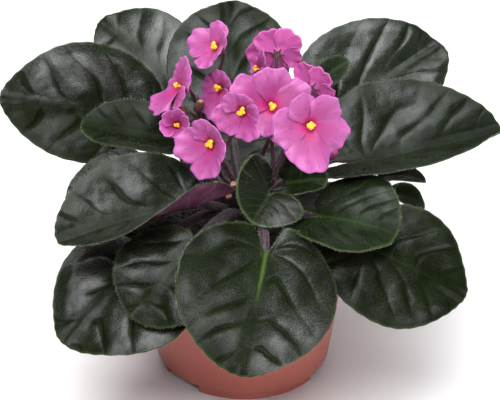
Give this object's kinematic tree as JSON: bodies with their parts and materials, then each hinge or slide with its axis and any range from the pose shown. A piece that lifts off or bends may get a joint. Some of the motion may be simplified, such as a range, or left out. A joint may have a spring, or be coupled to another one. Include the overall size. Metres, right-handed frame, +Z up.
{
  "type": "potted african violet",
  "caption": "African violet in a clay-coloured plastic pot, with dark green hairy leaves and pink flowers.",
  "frame": {"origin": "middle of the pot's underside, on the flat face of its central boss, level with its feet", "axes": "+Z up out of the pot; -Y towards the viewer, the side with the broadest leaves; +X to the viewer's right"},
  "size_m": [0.2502, 0.2105, 0.1776],
  "materials": {
    "pot": "terracotta-coloured satin plastic",
    "soil": "dark peat potting soil, matt and crumbly",
    "petiole": "purple-brown hairy stem, soft sheen",
    "blade": "dark green hairy leaf, silvery satin sheen, purple underside",
    "young_blade": "fresher green hairy young leaf",
    "stalk": "maroon hairy flower stalk",
    "petal": "pink petal, soft matt with fine sparkle, deeper at the throat",
    "anther": "bright yellow, matt",
    "bud": "dark magenta bud"
  },
  "bodies": {
    "root": {"pot": "pot", "soil": "soil", "crown_and_petioles": "petiole", "leaf_front": "blade", "leaf_front_left_inner": "blade", "leaf_front_left_outer": "blade", "leaf_left": "blade", "leaf_left_under": "blade", "leaf_left_young": "blade", "leaf_far_left": "blade", "leaf_back_left": "blade", "leaf_back": "blade", "leaf_back_right": "blade", "leaf_right": "blade", "leaf_right_inner": "blade", "leaf_front_right": "blade", "leaf_young_right": "blade", "leaf_young_front": "blade", "leaf_newest": "young_blade", "leaf_small_back": "young_blade", "leaf_under_right_upper": "blade", "leaf_under_right_lower": "young_blade", "leaf_rear_left": "blade", "leaf_rear_middle": "blade", "leaf_rear_right": "blade", "stalk_left": "stalk", "stalk_front": "stalk", "stalk_right": "stalk", "stalk_back": "stalk", "flower_top_left": "petal", "flower_top_left_anthers": "anther", "flower_far_left": "petal", "flower_far_left_anthers": "anther", "flower_left": "petal", "flower_left_anthers": "anther", "flower_opening": "petal", "flower_opening_anthers": "anther", "flower_front_left": "petal", "flower_front_left_anthers": "anther", "flower_front": "petal", "flower_front_anthers": "anther", "flower_middle": "petal", "flower_middle_anthers": "anther", "flower_front_right": "petal", "flower_front_right_anthers": "anther", "flower_top_right": "petal", "flower_top_right_anthers": "anther", "flower_behind": "petal", "flower_behind_anthers": "anther", "flower_right": "petal", "flower_right_anthers": "anther", "flower_bud": "bud"}
  },
  "joints": []
}
